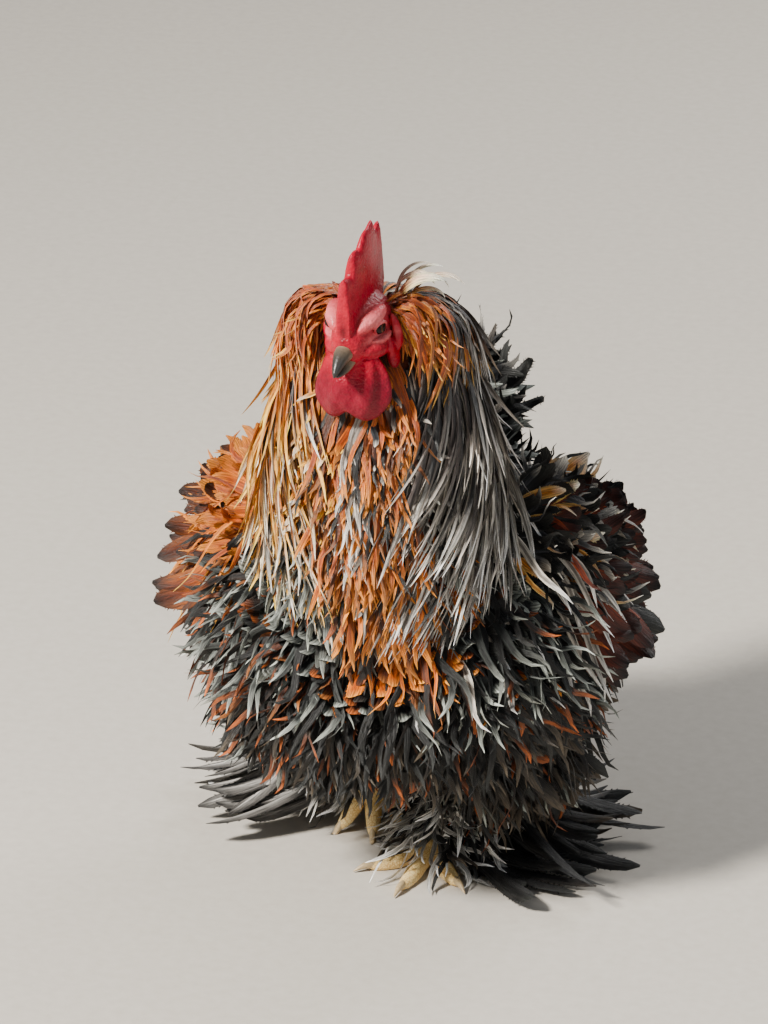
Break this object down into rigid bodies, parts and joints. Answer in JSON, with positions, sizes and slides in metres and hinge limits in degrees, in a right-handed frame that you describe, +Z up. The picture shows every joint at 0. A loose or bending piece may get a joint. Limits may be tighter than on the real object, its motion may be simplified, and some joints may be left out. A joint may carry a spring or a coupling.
{
  "type": "frizzle chicken",
  "caption": "Still, life-size frizzle bantam cock in mid step, with curled plumage, a single comb and feathered feet.",
  "frame": {"origin": "on the floor, under the middle of the bird's outline seen from above", "axes": "+Z up, the bird faces -Y, and its own left side is at +X"},
  "size_m": [0.2602, 0.2414, 0.367],
  "materials": {
    "red_skin": "bare, finely pimpled skin",
    "beak_horn": "smooth horn",
    "eye_amber": "wet, glossy eye",
    "foot_scale": "scaly skin",
    "foot_feather": "slate feather vanes",
    "hackle_gold": "gold hackles, cream tips",
    "breast_orange": "orange and slate curled feathers",
    "wing_rust": "rust vanes with black edges",
    "tail_black": "blue-black feathers with a sheen",
    "thigh_black": "soft black fluff"
  },
  "bodies": {
    "root": {"beak_lower": "beak_horn", "beak_upper": "beak_horn", "comb": "red_skin", "earlobe_left": "red_skin", "earlobe_right": "red_skin", "eye_left": "eye_amber", "eye_right": "eye_amber", "foot_left": "foot_scale", "foot_right": "foot_scale", "head": "red_skin", "neck": "hackle_gold", "shank_left": "foot_feather", "shank_right": "foot_feather", "tail": "tail_black", "thigh_left": "thigh_black", "thigh_right": "thigh_black", "torso": "breast_orange", "wattle_left": "red_skin", "wattle_right": "red_skin", "wing_left": "wing_rust", "wing_right": "wing_rust"}
  },
  "joints": []
}
